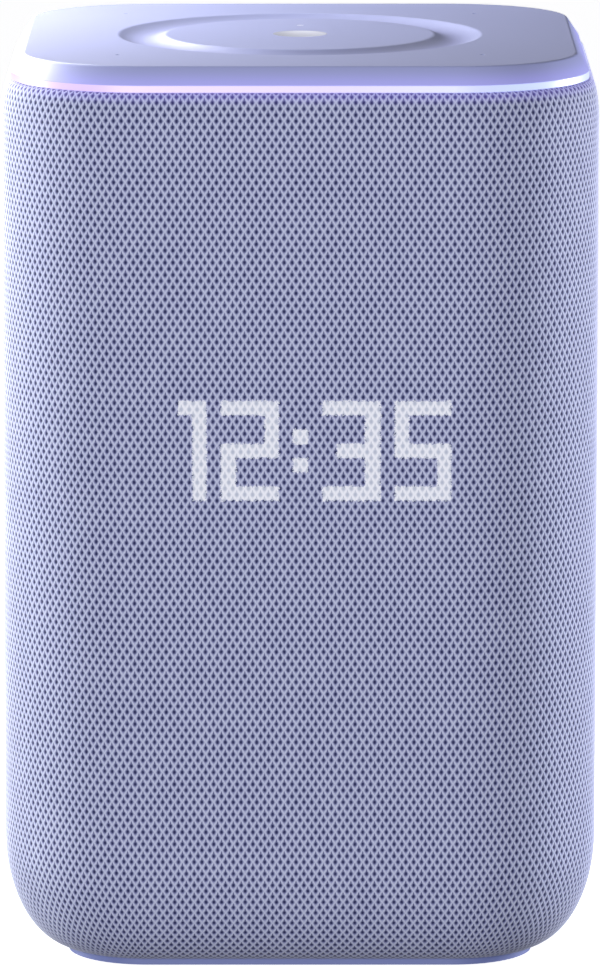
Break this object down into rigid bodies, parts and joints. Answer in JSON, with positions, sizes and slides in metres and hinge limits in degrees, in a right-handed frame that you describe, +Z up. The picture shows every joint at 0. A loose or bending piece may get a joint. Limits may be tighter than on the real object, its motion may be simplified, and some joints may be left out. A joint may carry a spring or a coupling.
{
  "type": "smart speaker",
  "caption": "Table-top smart speaker: rounded-square column in a knitted sleeve, dot clock on the front, touch dial and light ring on top.",
  "frame": {"origin": "middle of the footprint, on the surface that the speaker stands on", "axes": "+Z up; the clock faces -Y, the power socket faces +Y, +X is to the right when looking at the clock"},
  "size_m": [0.14, 0.14, 0.215],
  "materials": {
    "knit_fabric": "tight warp-knit acoustic mesh",
    "shell_plastic": "moulded, fine texture",
    "light_ring": "milky diffusing plastic",
    "cover_plastic": "satin moulded",
    "status_light": "clear light pipe",
    "base_plastic": "satin moulded",
    "foot_rubber": "matt",
    "screw_steel": "zinc plated",
    "inner_plastic": "moulded",
    "seal_foam": "closed-cell foam",
    "circuit_board": "solder mask",
    "lamp": "encapsulated",
    "tinned_steel": "tinned",
    "heat_sink_metal": "black anodised",
    "ferrite": "sintered",
    "can_metal": "drawn",
    "basket_metal": "powder coated",
    "plated_steel": "yellow zinc plated",
    "driver_cloth": "doped cloth",
    "surround_rubber": "moulded",
    "cone_paper": "pressed pulp",
    "coil_copper": "enamelled wire",
    "driver_plastic": "moulded",
    "radiator_metal": "anodised",
    "mask_plastic": "moulded, black",
    "diffuser_film": "matt film",
    "ribbon_film": "polyimide",
    "lead_rubber": "insulation",
    "port_plastic": "satin moulded",
    "jack_plastic": "moulded",
    "button_plastic": "satin moulded"
  },
  "bodies": {
    "housing": {"antenna": "circuit_board", "baffle_gasket": "seal_foam", "base_plate": "base_plastic", "display_board": "circuit_board", "display_diffuser": "diffuser_film", "display_leds": "lamp", "display_mask": "mask_plastic", "display_ribbon": "ribbon_film", "enclosure_tub": "inner_plastic", "fabric_sleeve": "knit_fabric", "foot_pad": "foot_rubber", "front_baffle": "inner_plastic", "grille_shell": "shell_plastic", "heat_sink": "heat_sink_metal", "light_ring": "light_ring", "light_ring_board": "circuit_board", "light_ring_leds": "lamp", "m25_screws": "screw_steel", "m2_screws": "screw_steel", "m3_screws": "screw_steel", "main_board": "circuit_board", "microphone_gaskets": "seal_foam", "microphones": "tinned_steel", "port_board": "circuit_board", "power_board": "circuit_board", "power_capacitors": "can_metal", "power_inductors": "ferrite", "power_jack": "jack_plastic", "power_lead": "lead_rubber", "radiator_frames": "driver_plastic", "radiator_surround_left": "surround_rubber", "radiator_surround_right": "surround_rubber", "radio_shield": "tinned_steel", "rear_port_panel": "port_plastic", "signal_harness": "lead_rubber", "status_lens": "status_light", "tact_switch": "jack_plastic", "top_cap": "cover_plastic", "top_chassis": "inner_plastic", "touch_board": "circuit_board", "touch_foam": "seal_foam", "tweeter_frames": "driver_plastic", "tweeter_motors": "basket_metal", "woofer_basket": "basket_metal", "woofer_gasket": "seal_foam", "woofer_magnet": "ferrite", "woofer_spider": "driver_cloth", "woofer_surround": "surround_rubber", "woofer_top_plate": "plated_steel", "woofer_yoke": "plated_steel"},
    "woofer_cone_body": {"woofer_cone": "cone_paper", "woofer_dust_cap": "cone_paper", "woofer_voice_coil": "coil_copper"},
    "radiator_left_body": {"radiator_plate_left": "radiator_metal"},
    "radiator_right_body": {"radiator_plate_right": "radiator_metal"},
    "tweeter_left_body": {"tweeter_dome_left": "driver_cloth"},
    "tweeter_right_body": {"tweeter_dome_right": "driver_cloth"},
    "mute_button_body": {"mute_button": "button_plastic", "switch_plunger": "button_plastic"}
  },
  "joints": [
    {"name": "woofer_slide", "type": "slide", "parent": "housing", "child": "woofer_cone_body", "axis": [0, -1, 0], "range_m": [-0.004, 0.004], "stiffness_N_per_m": 1500, "deforming": ["woofer_surround", "woofer_spider"]},
    {"name": "radiator_left_slide", "type": "slide", "parent": "housing", "child": "radiator_left_body", "axis": [-1, 0, 0], "range_m": [-0.004, 0.004], "stiffness_N_per_m": 800, "deforming": ["radiator_surround_left"]},
    {"name": "radiator_right_slide", "type": "slide", "parent": "housing", "child": "radiator_right_body", "axis": [1, 0, 0], "range_m": [-0.004, 0.004], "stiffness_N_per_m": 800, "deforming": ["radiator_surround_right"]},
    {"name": "tweeter_left_slide", "type": "slide", "parent": "housing", "child": "tweeter_left_body", "axis": [0, -1, 0], "range_m": [-0.0003, 0.0003], "stiffness_N_per_m": 3000},
    {"name": "tweeter_right_slide", "type": "slide", "parent": "housing", "child": "tweeter_right_body", "axis": [0, -1, 0], "range_m": [-0.0003, 0.0003], "stiffness_N_per_m": 3000},
    {"name": "mute_button_press", "type": "slide", "parent": "housing", "child": "mute_button_body", "axis": [0, -1, 0], "range_m": [0, 0.0006], "stiffness_N_per_m": 1500, "springref_m": -0.0004}
  ]
}
